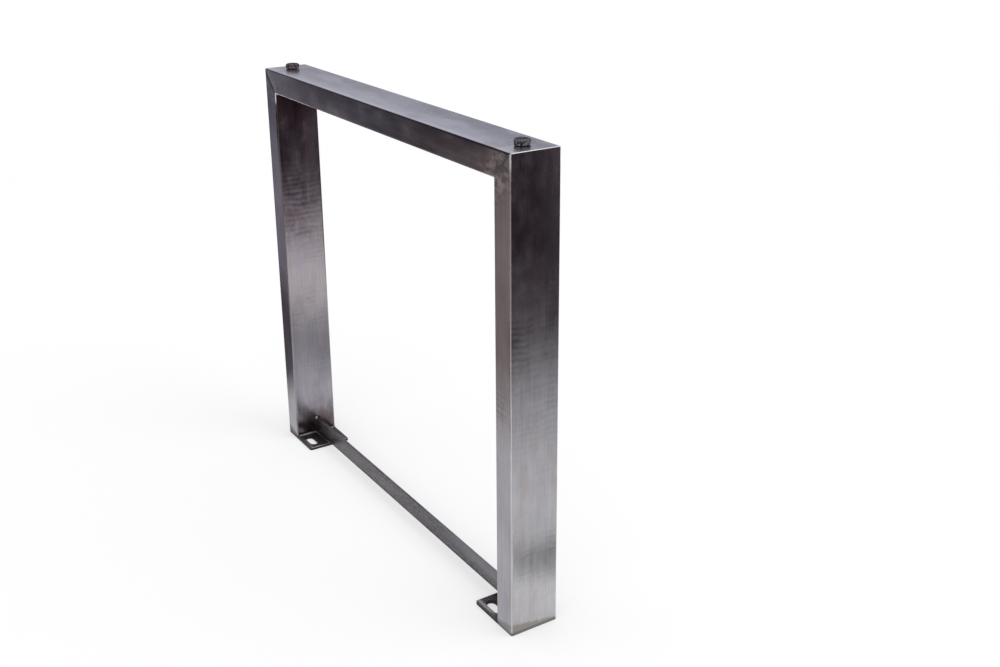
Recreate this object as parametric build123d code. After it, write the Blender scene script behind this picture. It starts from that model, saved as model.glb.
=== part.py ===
# U-shaped steel table leg, stood upside down on its table-top plates.
# Two upright tubes and a floor rail, mitred and welded, with a slotted plate
# over each open end, a flat bar between them and two levelling bolts.
#
# Origin: middle of the frame, on the plates' mounting faces. +X runs along the
# floor rail, +Y across the tubes' wide faces, +Z from the table top to the floor.
# All sizes are millimetres.
from build123d import *
import math
import os

# Frame
frame_length = 800.0        # over the outer faces of the two uprights
frame_height = 720.0        # mounting faces to the floor rail's outer face
ground_corner_radius = 1.5  # outer edge of each mitre, after grinding

# Rectangular tube, the same for the uprights and the floor rail
tube_depth = 80.0           # wide face, along Y
tube_width = 40.0           # narrow face, in the plane of the frame
tube_wall = 2.0
tube_inner_radius = 1.0

# End plates
plate_thickness = 5.0
plate_reach = 60.0          # past the upright's inner face
plate_corner_radius = 4.0   # the two free corners
plate_edge_break = 0.8      # ground off the free upper edges and the slots' edges
slot_length = 35.0
slot_width = 15.0
slot_edge_distance = 16.0   # slot's centre line to the plate's long edge

# Flat bar between the uprights
bar_height = 30.0
bar_thickness = 6.0
bar_offset = 4.0            # middle of the bar behind the middle of the frame
bar_edge_radius = 0.8

# Weld beads, measured along one leg of each fillet
plate_weld_leg = 3.0
bar_weld_leg = 3.0
mitre_weld_leg = 3.0
weld_end_gap = 2.0          # bare length left at the free end of a bead
bead_crown = 0.12           # how far a bead bulges, as a part of its leg

# Levelling bolts
foot_inset = 32.0           # bolt's axis to the upright's outer face
thread_diameter = 14.0
shank_length = 30.0
shank_point_chamfer = 1.5
head_across_flats = 21.0
head_height = 7.5
head_turn = 7.5             # degrees from a corner of the head to +X
head_chamfer_angle = 30.0
washer_face_height = 0.4
washer_face_inset = 0.7     # washer face smaller than the flats, each side
stand_off = 0.8             # washer face above the floor rail

# Weld nuts inside the floor rail
nut_across_flats = 24.0
nut_height = 11.0
nut_chamfer = 1.0
nut_collar_wall = 2.5       # round collar that centres the nut in the rail's hole

# Clearances
thread_clearance = 0.1      # bolt to nut, on the radius
collar_clearance = 0.1      # collar to the rail's hole, on the radius

# Places worked out from the sizes above
outer_x = frame_length / 2
inner_x = outer_x - tube_width
rail_under_z = frame_height - tube_width
tube_outer_radius = tube_inner_radius + tube_wall
bar_front_y = bar_offset - bar_thickness / 2
bar_back_y = bar_offset + bar_thickness / 2
bar_top_z = plate_thickness + bar_height
foot_x = outer_x - foot_inset
bead_half_run = tube_depth / 2 - tube_outer_radius + tube_inner_radius
nut_bore_radius = thread_diameter / 2 + thread_clearance
collar_radius = nut_bore_radius + nut_collar_wall
rail_hole_radius = collar_radius + collar_clearance
washer_face_z = frame_height + stand_off
head_base_z = washer_face_z + washer_face_height


def tube_section():
    """Section of the rectangular tube, wide side along the sketch's Y."""
    outside = RectangleRounded(tube_width, tube_depth, tube_outer_radius)
    inside = RectangleRounded(
        tube_width - 2 * tube_wall, tube_depth - 2 * tube_wall, tube_inner_radius
    )
    return outside - inside


def prism_across(*corners):
    """Solid between the given X,Z corners, through the whole depth of the frame."""
    face = Plane.XZ * make_face(Polyline(*corners, close=True))
    return extrude(face, amount=tube_depth, both=True)


def frame_outline():
    """Outer shape of the whole U, with the mitres' outer edges ground round."""
    face = Rectangle(frame_length, frame_height, align=(Align.CENTER, Align.MIN))
    top_corners = face.vertices().sort_by(Axis.Y)[-2:]
    face = fillet(top_corners, ground_corner_radius)
    return extrude(Plane.XZ * face, amount=tube_depth, both=True)


def upright():
    """Right-hand upright, mitred at the top and standing on its plate."""
    middle = Plane.XY.offset(plate_thickness) * Pos(outer_x - tube_width / 2, 0)
    tube = extrude(middle * tube_section(), amount=frame_height - plate_thickness)
    mitre = prism_across(
        (outer_x, plate_thickness),
        (outer_x, frame_height),
        (inner_x, rail_under_z),
        (inner_x, plate_thickness),
    )
    return tube & mitre & frame_outline()


def floor_rail():
    """Mitred tube on the floor side, with a hole for each weld nut's collar."""
    end = Plane(
        origin=(-outer_x, 0, frame_height - tube_width / 2),
        x_dir=(0, 0, 1),
        z_dir=(1, 0, 0),
    )
    tube = extrude(end * tube_section(), amount=frame_length)
    mitre = prism_across(
        (-outer_x, frame_height),
        (outer_x, frame_height),
        (inner_x, rail_under_z),
        (-inner_x, rail_under_z),
    )
    rail = tube & mitre & frame_outline()
    for x in (-foot_x, foot_x):
        hole = Cylinder(rail_hole_radius, 2 * tube_wall)
        rail -= Pos(x, 0, frame_height - tube_wall / 2) * hole
    return rail


def end_plate():
    """Right-hand plate: flush under the upright, free edges broken, two slots."""
    length = tube_width + plate_reach
    face = Rectangle(length, tube_depth)
    by_x = face.vertices().sort_by(Axis.X)
    face = fillet(by_x[:2], plate_corner_radius)
    face = fillet(face.vertices().sort_by(Axis.X)[-2:], tube_outer_radius)
    slot = SlotOverall(slot_length, slot_width)
    slot_x = length / 2 - tube_width - plate_reach / 2
    slot_y = tube_depth / 2 - slot_edge_distance
    for y in (-slot_y, slot_y):
        face -= Pos(slot_x, y) * slot
    plate = extrude(Pos(outer_x - length / 2, 0) * face, amount=plate_thickness)
    broken = chamfer(plate.faces().sort_by(Axis.Z)[-1].edges(), plate_edge_break)
    under_upright = Pos(outer_x, 0) * Box(2 * tube_width, tube_depth, 2 * plate_thickness)
    return broken + (plate & under_upright)


def stiffener():
    """Flat bar on edge, standing on both plates between the uprights."""
    bar = Box(2 * inner_x, bar_thickness, bar_height)
    bar = fillet(bar.edges().filter_by(Axis.X), bar_edge_radius)
    return Pos(0, bar_offset, plate_thickness + bar_height / 2) * bar


def bead(start, first_leg, along, leg, length):
    """Fillet weld: its two legs lie along first_leg and along x first_leg."""
    bulge = leg * (0.5 + bead_crown)
    face = Plane(origin=start, x_dir=first_leg, z_dir=along)
    edges = [
        Line((0, 0), (leg, 0)),
        ThreePointArc((leg, 0), (bulge, bulge), (0, leg)),
        Line((0, leg), (0, 0)),
    ]
    return extrude(face * make_face(edges), amount=length)


def plate_weld():
    """Right-hand beads: upright to plate, bar to plate, and bar to upright."""
    run = plate_reach - weld_end_gap
    wrap = bar_thickness + bar_weld_leg
    weld = bead(
        (inner_x, -bead_half_run, plate_thickness),
        (-1, 0, 0), (0, 1, 0), plate_weld_leg, 2 * bead_half_run,
    )
    weld += bead(
        (inner_x, bar_front_y, plate_thickness),
        (0, -1, 0), (-1, 0, 0), bar_weld_leg, run,
    )
    weld += bead(
        (inner_x - run, bar_back_y, plate_thickness),
        (0, 1, 0), (1, 0, 0), bar_weld_leg, run,
    )
    weld += bead(
        (inner_x, bar_front_y, plate_thickness),
        (-1, 0, 0), (0, 0, 1), bar_weld_leg, bar_height,
    )
    weld += bead(
        (inner_x, bar_back_y, plate_thickness),
        (0, 1, 0), (0, 0, 1), bar_weld_leg, bar_height,
    )
    weld += bead(
        (inner_x, bar_offset - wrap / 2, bar_top_z),
        (-1, 0, 0), (0, 1, 0), bar_weld_leg, wrap,
    )
    return weld - stiffener()


def mitre_weld():
    """Right-hand bead in the inner corner under the mitre."""
    return bead(
        (inner_x, bead_half_run, rail_under_z),
        (-1, 0, 0), (0, -1, 0), mitre_weld_leg, 2 * bead_half_run,
    )


def hexagon(across_flats, height, turn):
    """Hexagonal prism standing on the sketch plane."""
    outline = RegularPolygon(across_flats / 2, 6, major_radius=False)
    return extrude(Rot(0, 0, turn) * outline, amount=height)


def crown_cut(across_flats, height):
    """Turned envelope that chamfers the corners of a hexagon's top."""
    corner = across_flats / (3 ** 0.5)
    top = across_flats / 2 - washer_face_inset
    drop = (corner - top) * math.tan(math.radians(head_chamfer_angle))
    profile = Polyline(
        (0, 0), (corner, 0), (corner, height - drop), (top, height), (0, height),
        close=True,
    )
    return revolve(Plane.XZ * make_face(profile), axis=Axis.Z)


def levelling_bolt():
    """Hexagon bolt: chamfered head, washer face and plain shank."""
    head = hexagon(head_across_flats, head_height, head_turn)
    head &= crown_cut(head_across_flats, head_height)
    washer_face = Cylinder(
        head_across_flats / 2 - washer_face_inset, washer_face_height,
        align=(Align.CENTER, Align.CENTER, Align.MAX),
    )
    shank = Cylinder(
        thread_diameter / 2, shank_length,
        align=(Align.CENTER, Align.CENTER, Align.MAX),
    )
    shank = chamfer(shank.edges().sort_by(Axis.Z)[0], shank_point_chamfer)
    shank = Pos(0, 0, -washer_face_height) * shank
    return Pos(foot_x, 0, head_base_z) * (head + washer_face + shank)


def weld_nut():
    """Hexagon nut under the rail's outer wall, its collar flush in the hole."""
    body = hexagon(nut_across_flats, nut_height, 0)
    body = chamfer(body.faces().sort_by(Axis.Z)[0].edges(), nut_chamfer)
    collar = Pos(0, 0, nut_height) * Cylinder(
        collar_radius, tube_wall, align=(Align.CENTER, Align.CENTER, Align.MIN)
    )
    nut = body + collar
    nut -= Cylinder(nut_bore_radius, 2 * (nut_height + tube_wall))
    return Pos(foot_x, 0, frame_height - tube_wall - nut_height) * nut


def sides(piece, name):
    """The right-hand piece and its mirror image, as two nodes."""
    return {"right_" + name: piece, "left_" + name: mirror(piece, about=Plane.YZ)}


nodes = {"floor_rail": floor_rail(), "flat_bar": stiffener()}
nodes |= sides(upright(), "upright")
nodes |= sides(end_plate(), "end_plate")
nodes |= sides(plate_weld(), "plate_weld")
nodes |= sides(mitre_weld(), "mitre_weld")
nodes |= sides(levelling_bolt(), "levelling_bolt")
nodes |= sides(weld_nut(), "weld_nut")

os.makedirs("parts", exist_ok=True)
for name, piece in nodes.items():
    export_step(piece, f"parts/{name}.step")
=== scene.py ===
"""Finish and light for a welded U-shaped table leg of brushed steel tube.

The CAD model gives the shape. This script finishes its surfaces, builds the rippled
weld beads and the threaded levelling bolts, and lights the leg on a pale floor.
"""

import bpy
import bmesh
import math
from collections import namedtuple
from bpy.props import FloatProperty, FloatVectorProperty, IntProperty, PointerProperty
from mathutils import Matrix, Vector, noise


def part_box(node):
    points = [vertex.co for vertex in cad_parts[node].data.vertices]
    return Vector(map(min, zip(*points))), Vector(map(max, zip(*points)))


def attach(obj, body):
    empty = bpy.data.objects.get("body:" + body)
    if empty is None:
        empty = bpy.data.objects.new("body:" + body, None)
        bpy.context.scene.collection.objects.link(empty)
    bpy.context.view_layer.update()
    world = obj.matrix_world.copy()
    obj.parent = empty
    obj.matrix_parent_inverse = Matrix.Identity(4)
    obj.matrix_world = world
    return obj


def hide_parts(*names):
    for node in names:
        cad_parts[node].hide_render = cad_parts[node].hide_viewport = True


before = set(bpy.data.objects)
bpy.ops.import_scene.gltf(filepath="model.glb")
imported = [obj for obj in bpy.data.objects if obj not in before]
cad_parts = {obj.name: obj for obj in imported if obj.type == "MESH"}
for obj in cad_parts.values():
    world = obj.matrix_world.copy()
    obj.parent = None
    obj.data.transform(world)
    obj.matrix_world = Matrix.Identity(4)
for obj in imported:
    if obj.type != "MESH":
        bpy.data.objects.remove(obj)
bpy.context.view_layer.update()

bl_info = {
    "name": "Steel table leg finish",
    "version": (1, 0, 0),
    "blender": (4, 5, 0),
    "location": "View3D > Sidebar > Table leg",
    "description": "Brushed steel, weld beads, levelling bolts and studio for a U-shaped table leg",
    "category": "Object",
}

SIDES = {"left": -1, "right": 1}

# Places read from the frame, in metres
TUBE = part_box("right_upright")
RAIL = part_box("floor_rail")
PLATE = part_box("right_end_plate")
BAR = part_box("flat_bar")
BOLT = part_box("right_levelling_bolt")
OUTER_X = TUBE[1].x
INNER_X = TUBE[0].x
RAIL_TOP = RAIL[1].z
RAIL_UNDER = RAIL[0].z
PLATE_TOP = PLATE[1].z
PLATE_TIP = PLATE[0].x
BAR_TOP = BAR[1].z
BAR_FRONT = BAR[0].y
BAR_MIDDLE = (BAR[0].y + BAR[1].y) / 2
BOLT_X = (BOLT[0].x + BOLT[1].x) / 2
MITRE_SUM = RAIL_TOP - OUTER_X
ROOT_HALF = math.sqrt(0.5)

# Directions of the weld beads on the right-hand side
INWARD, UP, DOWN = (-1, 0, 0), (0, 0, 1), (0, 0, -1)
FORWARD, BACKWARD = (0, -1, 0), (0, 1, 0)

# A coat covers the steel where a mask shows it, with this strength and in this colour
Coat = namedtuple("Coat", "strength colour")

# Coats of the floor rail
# darker tone at the back of the rail's floor side and at its far end
RAIL_DARKENING = Coat(0.92, (0.245, 0.25, 0.267))
RAIL_WIPED = Coat(0.50, (0.74, 0.735, 0.76))
RAIL_SMUDGE = Coat(0.30, (0.42, 0.45, 0.43))
RAIL_SCUFF = Coat(0.28, (0.80, 0.79, 0.82))
# painted highlight along the front edge of the rail's floor side
RAIL_FRONT_GLINT = Coat(0.55, (0.90, 0.89, 0.92))
RAIL_LIGHT_END = Coat(0.35, (0.92, 0.90, 0.97))
# painted shade on the rail's narrow sides, purplish, strongest near the top
RAIL_SIDE_SHADE = Coat(0.66, (0.215, 0.178, 0.193))
# painted dark reflection along the rail's long top edge
RAIL_EDGE_SHADE = Coat(1.0, (0.030, 0.030, 0.042))

# Coats of the uprights, and of the uprights and the rail alike
# painted shade, purplish and blotchy, over the upper part of the uprights' wide faces
UPRIGHT_UPPER_SHADE = Coat(0.62, (0.20, 0.12, 0.17))
COOL_STEEL, WARM_STEEL = (0.90, 0.885, 0.930), (1.0, 0.925, 0.945)
WARM_PATCH = Coat(0.45, (0.46, 0.40, 0.38))
COOL_PATCH = Coat(0.40, (0.48, 0.50, 0.57))
FOOT_HEAT_STRENGTH = 0.88
MITRE_HEAT = Coat(0.75, (0.30, 0.20, 0.19))
BAND_STRENGTH = 0.88
BAND_DARK, BAND_LIGHT = (0.24, 0.225, 0.205), (0.44, 0.415, 0.385)
LEFT_BAND = Coat(0.75, (0.11, 0.095, 0.085))
MITRE_STRENGTH = 0.80
MITRE_DARK, MITRE_LIGHT = (0.33, 0.29, 0.27), (1.0, 0.95, 0.94)
# painted highlight on the raised edge beside the mitre's seam
SEAM_LIP_GLINT = Coat(0.60, (0.92, 0.90, 0.97))
SEAM_LINE = Coat(1.0, (0.035, 0.031, 0.040))
# the last is a painted white glint on the edges near the mitres
RIGHT_WORN, LEFT_WORN, MITRE_GLINT = (0.72, 0.70, 0.72), (0.40, 0.395, 0.41), (1.0, 0.99, 1.0)
# painted glints on the edges, pale and nearly matt
RIGHT_GLINT, LEFT_GLINT = (0.66, 0.65, 0.66), (1.0, 0.96, 0.97)
GLINT_METALLIC_CHANGE = -0.85    # painted glints: edges made less metallic so they light up pale all round

# Coats of the end plates
PLATE_SCRATCH = Coat(1.0, (0.56, 0.53, 0.53))
PLATE_HEAT = Coat(0.70, (0.085, 0.070, 0.062))
# painted shade on the plates' sides and slot walls
PLATE_SIDE_SHADE = Coat(0.85, (0.030, 0.027, 0.026))
PLATE_END_STRENGTH = 0.85
PLATE_END_DARK, PLATE_END_LIGHT = (0.20, 0.185, 0.17), (0.38, 0.355, 0.33)
LEFT_PLATE_END = Coat(1.0, (0.08, 0.068, 0.060))
# light rim: wear in patches, and a painted highlight on the broken edge
PLATE_RIM_WEAR_AND_GLINT = Coat(1.0, (0.62, 0.60, 0.60))
# painted shade along the slots' edges
SLOT_EDGE_SHADE = Coat(1.0, (0.03, 0.027, 0.026))
PLATE_STRIP = Coat(0.75, (0.66, 0.64, 0.62))

# Coats of the flat bar
BAR_BRUSHED = Coat(0.4, (0.60, 0.58, 0.58))
BAR_HEAT_STRENGTH = 0.60
BAR_LIGHT_SPECK = Coat(0.62, (0.36, 0.345, 0.35))
BAR_DARK_SPECK = Coat(0.68, (0.06, 0.055, 0.06))
# painted light on the upper part of the bar's right end
BAR_UPPER_LIGHT = Coat(0.60, (0.40, 0.39, 0.415))
# painted shade where the bar meets the plate
BAR_FOOT_SHADE = Coat(0.45, (0.065, 0.062, 0.068))
# painted shade: the bar's top face a little darker than its sides
BAR_TOP_SHADE = Coat(0.10, (0.10, 0.095, 0.10))
# painted highlight on the bar's rounded edges
BAR_EDGE_GLINT = Coat(0.9, (0.92, 0.86, 0.86))

# Coats of the weld beads and the bolts
BEAD_STRAW = Coat(1.0, (0.26, 0.18, 0.145))
BEAD_BURNT = Coat(0.93, (0.035, 0.024, 0.022))
# painted highlight on the top of the bead where it wraps the bar's front
BEAD_TIP_GLINT = Coat(0.80, (0.66, 0.62, 0.63))
# painted highlight over the mitre beads
MITRE_BEAD_GLINT = Coat(0.80, (0.85, 0.83, 0.84))
FLECK_STRENGTH = 0.92
BLACK_SHEEN = (0.12, 0.11, 0.12, 1.0)

# Light and shade on the floor and the walls, as the steel mirrors them
POOL_SPOT = Coat(0.93, (0.0, 0.0, 0.0))
POOL_BLOTCH = Coat(0.55, (0.1, 0.09, 0.1))
BACKDROP_FLOOR = Coat(1.0, (0.130, 0.125, 0.145))
LEFT_FRONT_FLOOR = Coat(1.0, (0.205, 0.195, 0.245))
DARK_HEM = Coat(0.75, (0.05, 0.03, 0.035))
FLOOR_HAZE = Coat(1.0, (0.085, 0.070, 0.080))
RAIL_REFLECTOR = Coat(1.0, (1.0, 0.98, 1.0))
STRIP_DIM, STRIP_LIGHT = (0.27, 0.235, 0.24), (0.72, 0.70, 0.73)
WHITE = (1.0, 1.0, 1.0)

# Where marks set in and where they are full: places along X, Y or Z, in metres
LEFT_HALF_X = (0.05, -0.05)
FRONT_EDGE_Y = (-0.036, -0.0375)
RAIL_MIDDLE_X, RAIL_MIDDLE_REACH = -0.02, (0.03, 0.11)
RAIL_FAR_END_X = (0.05, -0.25)
RAIL_BACK_Y = (-0.022, 0.026)
RAIL_DARKENING_Y = (-0.038, -0.014)
RAIL_WIPED_Y = (-0.006, -0.030)
# where the painted highlight at the front edge of the rail's floor side lies
RAIL_FRONT_GLINT_Y = (-0.027, -0.035)
RAIL_LIGHT_END_X = (-0.22, -0.33)
# where the painted shade on the rail's narrow sides lies
RAIL_SIDE_SHADE_X = (-0.34, -0.16)
RAIL_SIDE_SHADE_Z = (RAIL_TOP - 0.030, RAIL_TOP - 0.010)
# where the painted dark reflection on the rail's long edge lies
RAIL_EDGE_SHADE_Z = (RAIL_TOP - 0.007, RAIL_TOP - 0.004)
# where the painted glints on the rail's edges lie
RAIL_GLINT_X = (-0.14, -0.26)
RAIL_GLINT_Z = (RAIL_UNDER + 0.006, RAIL_UNDER + 0.003)
UPRIGHT_WARM_Z = (0.20, 0.29)
# where the painted shade on the uprights' upper part sets in
RIGHT_SHADE_Z, LEFT_SHADE_Z = (0.43, 0.60), (0.34, 0.49)
UPRIGHT_BACK_Y = (0.002, 0.034)
# where the painted glints on the uprights' edges lie
EDGE_LINE_GLINT_Z = (0.42, 0.35)
UPRIGHT_GLINT_X = (INNER_X + 0.006, INNER_X + 0.003)
UPRIGHT_GLINT_Z = (RAIL_UNDER - 0.022, RAIL_UNDER - 0.012)
OUTER_CORNER_SUM = (OUTER_X + RAIL_TOP - 0.034, OUTER_X + RAIL_TOP - 0.012)
INNER_FACE_X = (INNER_X + 0.003, INNER_X + 0.001)
OUTSIDE_INNER_X = (INNER_X + 0.0005, INNER_X + 0.002)
BAR_HEAT_REACH = (0.038, 0.012)
BAND_FADE = 0.006
BAND_SLANT, BAND_INSET_SLANT = 0.16, 0.26
MITRE_PATCH_REACH = (0.042, 0.010)
# how far the painted glint near the mitres reaches
MITRE_GLINT_REACH = (0.030, 0.012)
PLATE_END_X = (INNER_X + 0.002, INNER_X + 0.006)
PLATE_RIM_Y = (0.037, 0.039)
PLATE_RIM_X = (PLATE_TIP + 0.0025, PLATE_TIP + 0.001)
PLATE_STRIP_Y, PLATE_STRIP_WIDTH = -0.0352, (0.0040, 0.0010)
PLATE_STRIP_X = (INNER_X - 0.004, INNER_X - 0.030)
BAR_RIGHT_END_X = (0.10, 0.24)
BAR_UPPER_Z = (PLATE_TOP + 0.008, PLATE_TOP + 0.022)
BAR_FOOT_Z = (PLATE_TOP + 0.009, PLATE_TOP + 0.002)
FOOT_BEADS_Z = (0.12, 0.06)
BEAD_BURNT_Z = (PLATE_TOP + 0.0009, PLATE_TOP + 0.0030)
BEAD_TIP_Z = (BAR_TOP - 0.0030, BAR_TOP)
BEAD_TIP_Y = (BAR_FRONT + 0.0022, BAR_FRONT + 0.0008)
MITRE_BEADS_Z = (RAIL_UNDER - 0.10, RAIL_UNDER - 0.05)
HEAD_RIM_Z = (BOLT[1].z - 0.003, BOLT[1].z - 0.001)
HEAD_RIM_WIDTH = (0.0012, 0.0002)

# How squarely a face looks along an axis where a mark sets in and where it is full
FLAT_FACING = (0.995, 0.80)
NARROW_FACING, WIDE_FACING, TOP_FACING = (0.55, 0.8), (0.7, 0.95), (0.7, 0.95)
FLAT_ON_FACING = (0.1, 0.4)
EDGE_SHADE_FACING = (0.3, 0.1)
RAIL_TURN_FACING, UPRIGHT_TURN_FACING = (0.2, 0.4), (0.1, 0.3)
# facing of the painted line glint on the vertical front edges
EDGE_LINE_GLINT_FACING = (0.2, 0.1)
PLATE_SIDE_FACING, PLATE_END_FACING, PLATE_LEVEL_FACING = (0.6, 0.2), (0.7, 0.4), (0.9, 0.99)
BROKEN_EDGE_FACING = (0.15, 0.05)
BAR_TOP_FACING, HEAD_TOP_FACING = (0.5, 0.9), (0.6, 0.95)

# Noise patterns: size of a cell along X, Y and Z in metres, layers of detail and roughness
Grain = namedtuple("Grain", "size detail rough", defaults=(2.0, 0.5))
RIPPLE_BEND = Grain((0.05, 0.05, 0.06))
RIPPLE_SWELL = Grain((0.06, 0.06, 0.09), 1.0)
WIPED_PATCH = Grain((0.13, 0.045, 0.045), 3.0, 0.55)
SMUDGE = Grain((0.026, 0.009, 0.02), 4.0, 0.65)
SCUFF = Grain((0.0035, 0.0120, 0.02), 3.0, 0.65)
# blotches of the painted shade on the uprights
SHADE_BLOTCH = Grain((0.018, 0.018, 0.026), 4.0, 0.6)
HEAT_MOTTLE = Grain((0.010, 0.010, 0.022), 4.0, 0.6)
BAR_HEAT_RAG = Grain((0.009, 0.009, 0.016), 3.0)
BAND_RAG = Grain((0.007, 0.007, 0.012))
CROSS_GRINDING = Grain((0.03, 0.03, 0.0008), 3.0, 0.6)
SEAM_WANDER = Grain((0.008, 0.008, 0.008))
MITRE_MOTTLE = Grain((0.015, 0.015, 0.011), 4.0, 0.65)
PLATE_SCALE = Grain((0.010, 0.010, 0.010), 4.0, 0.6)
PLATE_SCRATCHES = Grain((0.02, 0.0009, 0.02), 3.0, 0.6)
RIM_WEAR = Grain((0.008, 0.008, 0.008))
BAR_BRUSHING = Grain((0.07, 0.0008, 0.0008), 3.0, 0.6)
BAR_CLOUD = Grain((0.06, 0.02, 0.014), 3.0, 0.55)
BAR_SPECKLE = Grain((0.0045, 0.0030, 0.0030), 3.0, 0.6)
BEAD_MOTTLE = Grain((0.004, 0.004, 0.004), 3.0, 0.6)
STRAW_PATCH = Grain((0.012, 0.012, 0.012))
BLACK_SPECK = Grain((0.0012, 0.0012, 0.0012), 4.0, 0.65)
RUST_PATCH = Grain((0.005, 0.005, 0.005))
RUBBED_FLECK = Grain((0.0015, 0.0015, 0.0040), 2.0, 0.6)
NUT_TURNING = Grain((0.0009, 0.0009, 0.004), 3.0, 0.6)

# The same along a tube's run: width across the run and length along it
TUBE_CLOUD = Grain((0.035, 0.075), 3.0, 0.5)
WARM_BLOTCH = Grain((0.030, 0.080), 3.0)
COOL_BLOTCH = Grain((0.024, 0.110))
EDGE_WEAR = Grain((0.02, 0.022))
WAVE_WIDTH = 0.05

# How far noise shifts the border of a mark, in metres, or in radians for the ripples
RIPPLE_BEND_PHASE = 11.0
BAR_HEAT_SHIFT = -0.018
BAND_SHIFT = -0.005
SEAM_SHIFT = 0.0022
HEAT_SHIFT, HEAT_FADE = -0.9, (0.65, -0.40)     # of the heat's reach

# How far the heat spread elsewhere, as a part of the reach at the uprights' feet
MITRE_HEAT_REACH, PLATE_HEAT_REACH, BAR_END_HEAT_REACH = 0.8, 1.5, 0.5
BAR_HEAT_Z, BAR_HEAT_SHARE = 0.6 * BAR_TOP, 0.85

# Mitre seam, as parts of its width
SEAM_CORE = 0.25
LIP_PLACE, LIP_REACH = -1.7, 2.2

# Depth of each surface pattern, in metres
CLOUD_DEPTH = 0.0006
SEAM_DEPTH = 0.0004
PLATE_SCRATCH_DEPTH = 0.00004
PLATE_SCALE_DEPTH = 0.00018
BAR_BRUSH_DEPTH = 0.00002
BAR_CLOUD_DEPTH = 0.0004
BEAD_MOTTLE_DEPTH = 0.00012
BLACK_SPECK_DEPTH = 0.00012
NUT_TURNING_DEPTH = 0.00003

# Darkest and lightest shade of a colour, and smoothest and roughest patch of a surface
PLATE_SHADES, PLATE_ROUGHNESS = (0.62, 1.25), (0.36, 0.52)
BAR_SHADES, BAR_ROUGHNESS = (0.72, 1.22), (0.32, 0.46)
BEAD_SHADES, BEAD_ROUGHNESS = (0.60, 1.30), (0.30, 0.50)
BLACK_SHADES, BLACK_ROUGHNESS = (0.4, 2.2), (0.26, 0.50)
NUT_SHADES, NUT_ROUGHNESS = (0.75, 1.2), (0.30, 0.46)
BLACK_METALLIC = 0.85
TUBE_ANISOTROPY, TUBE_ANISOTROPY_TURN = 0.55, 0.25
FLOOR_ROUGHNESS = 0.6

# Share of each brushing pattern in the steel's tone
TONE_SHARES = {"fine": 0.20, "stroke": 0.30, "streak": 0.30, "cloud": 0.52, "wave": 0.10}

# How far the streaks and each mark change the tube's roughness
STREAK_ROUGHNESS = 0.02
ROUGHNESS_CHANGES = {
    "cloud": 0.26, "narrow": -0.05, "left": -0.06, "band": 0.10, "mitre": 0.08, "edge": -0.08
}

# Shape of the weld beads
BEAD_ARC_POINTS = 9
BEAD_STEPS_PER_RIPPLE = 8
BEAD_LEAST_STEPS = 8
BEAD_TAPER_REACH = 0.8      # of the leg
BEAD_LEAST_SIZE = 0.35      # of the leg, at the very end
BEAD_SWAY = 0.07            # how far the leg's size wanders, as a part of it
BEAD_SWAY_RATE = 160.0      # per metre
BEAD_CRESCENT = 0.9         # how far a ripple lags in the middle, as a part of the leg
BEAD_CLIMB = 0.7            # past the bar's top, as a part of the leg
BEAD_WRAP = 1.6             # past the bar's faces, both sides together, in legs

# Shape of the bolts
THREAD_DEPTH = 0.61         # of the pitch
THREAD_ROWS = 10            # rings of points per turn of the thread
GROOVE_WIDTH, FLANK_SLOPE = 1.25, 4.0
HEAD_CHAMFER = math.radians(30)
HEAD_EDGE_BREAK = 0.0003
HEAD_INNER_RING = 0.4       # of the top's radius

SHARP_ANGLE = math.radians(35.0)
WELD_DISTANCE = 1e-7

# Camera, as fitted to the photograph
PHOTO_WIDTH = 1000          # pixels
PHOTO_FOCAL_LENGTH = 1203.9  # pixels
SENSOR_WIDTH = 36.0         # millimetres
CAMERA_PLACE = (1.6427, -0.8559, 1.0722)
CAMERA_TURN, CAMERA_TIP, CAMERA_ROLL = 57.24, 70.99, -0.35
CAMERA_SHIFT = -0.06

# Floor pattern that the steel mirrors: places, slopes and reaches, in metres
POOL_MIDDLE, POOL_WEST_STRETCH = (0.30, 0.10), 0.55
POOL_FADE = (1.29, 0.62)    # of the pool's radius
POOL_SLOPE, POOL_FRONT_Y, POOL_FRONT_FADE = 0.34, 0.54, (-0.01, 0.06)
SHADE_X, SHADE_Y = (-0.50, -0.70), (0.04, -0.06)
HEART_SUM, HEART_REACH = (0.30, 0.50), (0.80, 0.10)
SPOT_PLACE, SPOT_STRETCH, SPOT_REACH = (0.545, 0.13), 0.6, (0.065, 0.015)
BLOTCH_PLACE, BLOTCH_REACH = (0.15, 0.24), (0.36, 0.10)
BACKDROP_REACH, PAST_REACH, PAST_Y = (3.3, 4.3), (2.2, 3.0), (-1.18, -1.36)
LEFT_SLOPE, LEFT_FADE = -0.55, (-0.15, 0.20)
HEM_FADE, HEM_X = (-0.40, -0.15), (-0.35, -0.85)
FRONT_FADE = (-0.20, -0.45)
HAZE_SLOPE, HAZE_FADE, HAZE_X, HAZE_Y = -0.6, (-0.14, 0.07), (0.6, 1.0), (0.1, 0.3)
STRIP_X, STRIP_Y, STRIP_LIGHT_Y = (0.45, 0.60), (-0.12, -0.28), (-1.12, -0.92)
STRIP_SLOPE, STRIP_LINE_Y, STRIP_WIDTH = 1.57, 0.588, (0.45, 0.20)
REFLECTOR_PLACE, REFLECTOR_REACH = (-1.38, 0.40), (0.30, 0.10)
GLOW_REACH, GLOW_SHARES = (1.5, 5.0), (0.45, 1.0)

# Room that the steel mirrors: its lit walls along one level axis, and its ceiling
WALL_AXIS = (-0.75, 0.66)
NEAR_WALL, NEAR_WALL_LIGHT, FAR_WALL = (-0.55, -0.95), 0.35, (0.25, 0.80)
CEILING_HEIGHT = (0.45, 0.85)

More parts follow.
